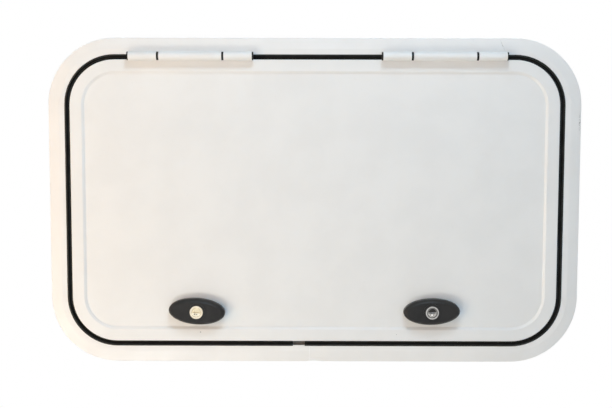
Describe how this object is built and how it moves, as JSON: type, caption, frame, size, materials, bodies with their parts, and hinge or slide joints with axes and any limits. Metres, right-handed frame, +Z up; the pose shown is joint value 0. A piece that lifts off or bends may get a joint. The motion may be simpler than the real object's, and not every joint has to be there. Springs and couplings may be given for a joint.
{
  "type": "storage hatch door",
  "caption": "Top-hinged storage hatch: rounded flanged frame, sandwich-panel door with a rubber seal, barrel hinges and oval turn latches with key plugs.",
  "frame": {"origin": "middle of the flange's back face, in the plane of the wall's outer surface and at the centre of the wall's cut-out", "axes": "+X to the right seen from outside, +Y into the wall, +Z up"},
  "size_m": [0.75, 0.0611, 0.46],
  "materials": {
    "frame_paint": "satin",
    "trim_paint": "satin",
    "panel_paint": "satin",
    "hinge_paint": "satin",
    "inner_panel": "matte",
    "seal_rubber": "matte",
    "bush_plastic": "matte",
    "core_foam": "matte",
    "latch_plastic": "satin",
    "knob_plastic": "satin",
    "nut_plastic": "matte",
    "plate_metal": "satin",
    "pin_steel": "satin",
    "spindle_steel": "satin",
    "pawl_steel": "satin",
    "collar_chrome": "polished",
    "plug_chrome": "polished"
  },
  "bodies": {
    "frame": {"outer_frame": "frame_paint", "frame_joint_plate": "plate_metal", "frame_seal": "seal_rubber", "hinge_left_frame_leaf": "hinge_paint", "hinge_right_frame_leaf": "hinge_paint", "hinge_left_pin": "pin_steel", "hinge_right_pin": "pin_steel", "hinge_left_bushes": "bush_plastic", "hinge_right_bushes": "bush_plastic"},
    "door": {"door_trim": "trim_paint", "outer_skin": "panel_paint", "foam_core": "core_foam", "inner_skin": "inner_panel", "hinge_left_door_leaf": "hinge_paint", "hinge_right_door_leaf": "hinge_paint", "latch_left_base": "latch_plastic", "latch_right_base": "latch_plastic", "latch_left_nut": "nut_plastic", "latch_right_nut": "nut_plastic"},
    "latch_left": {"latch_left_knob": "knob_plastic", "latch_left_collar": "collar_chrome", "latch_left_spindle": "spindle_steel", "latch_left_pawl": "pawl_steel", "latch_left_pawl_nut": "pawl_steel"},
    "latch_right": {"latch_right_knob": "knob_plastic", "latch_right_collar": "collar_chrome", "latch_right_spindle": "spindle_steel", "latch_right_pawl": "pawl_steel", "latch_right_pawl_nut": "pawl_steel"},
    "key_left": {"key_plug_left": "plug_chrome"},
    "key_right": {"key_plug_right": "plug_chrome"}
  },
  "joints": [
    {"name": "door_hinge", "type": "hinge", "parent": "frame", "child": "door", "pos_m": [0, -0.01055, 0.2045], "axis": [-1, 0, 0], "range_deg": [0, 170]},
    {"name": "latch_left_turn", "type": "hinge", "parent": "door", "child": "latch_left", "pos_m": [-0.167, -0.01, -0.156], "axis": [0, 1, 0], "range_deg": [0, 90]},
    {"name": "latch_right_turn", "type": "hinge", "parent": "door", "child": "latch_right", "pos_m": [0.167, -0.01, -0.156], "axis": [0, 1, 0], "range_deg": [0, 90]},
    {"name": "key_left_turn", "type": "hinge", "parent": "latch_left", "child": "key_left", "pos_m": [-0.167, -0.015, -0.156], "axis": [0, 1, 0], "range_deg": [0, 90]},
    {"name": "key_right_turn", "type": "hinge", "parent": "latch_right", "child": "key_right", "pos_m": [0.167, -0.015, -0.156], "axis": [0, 1, 0], "range_deg": [0, 90]}
  ]
}
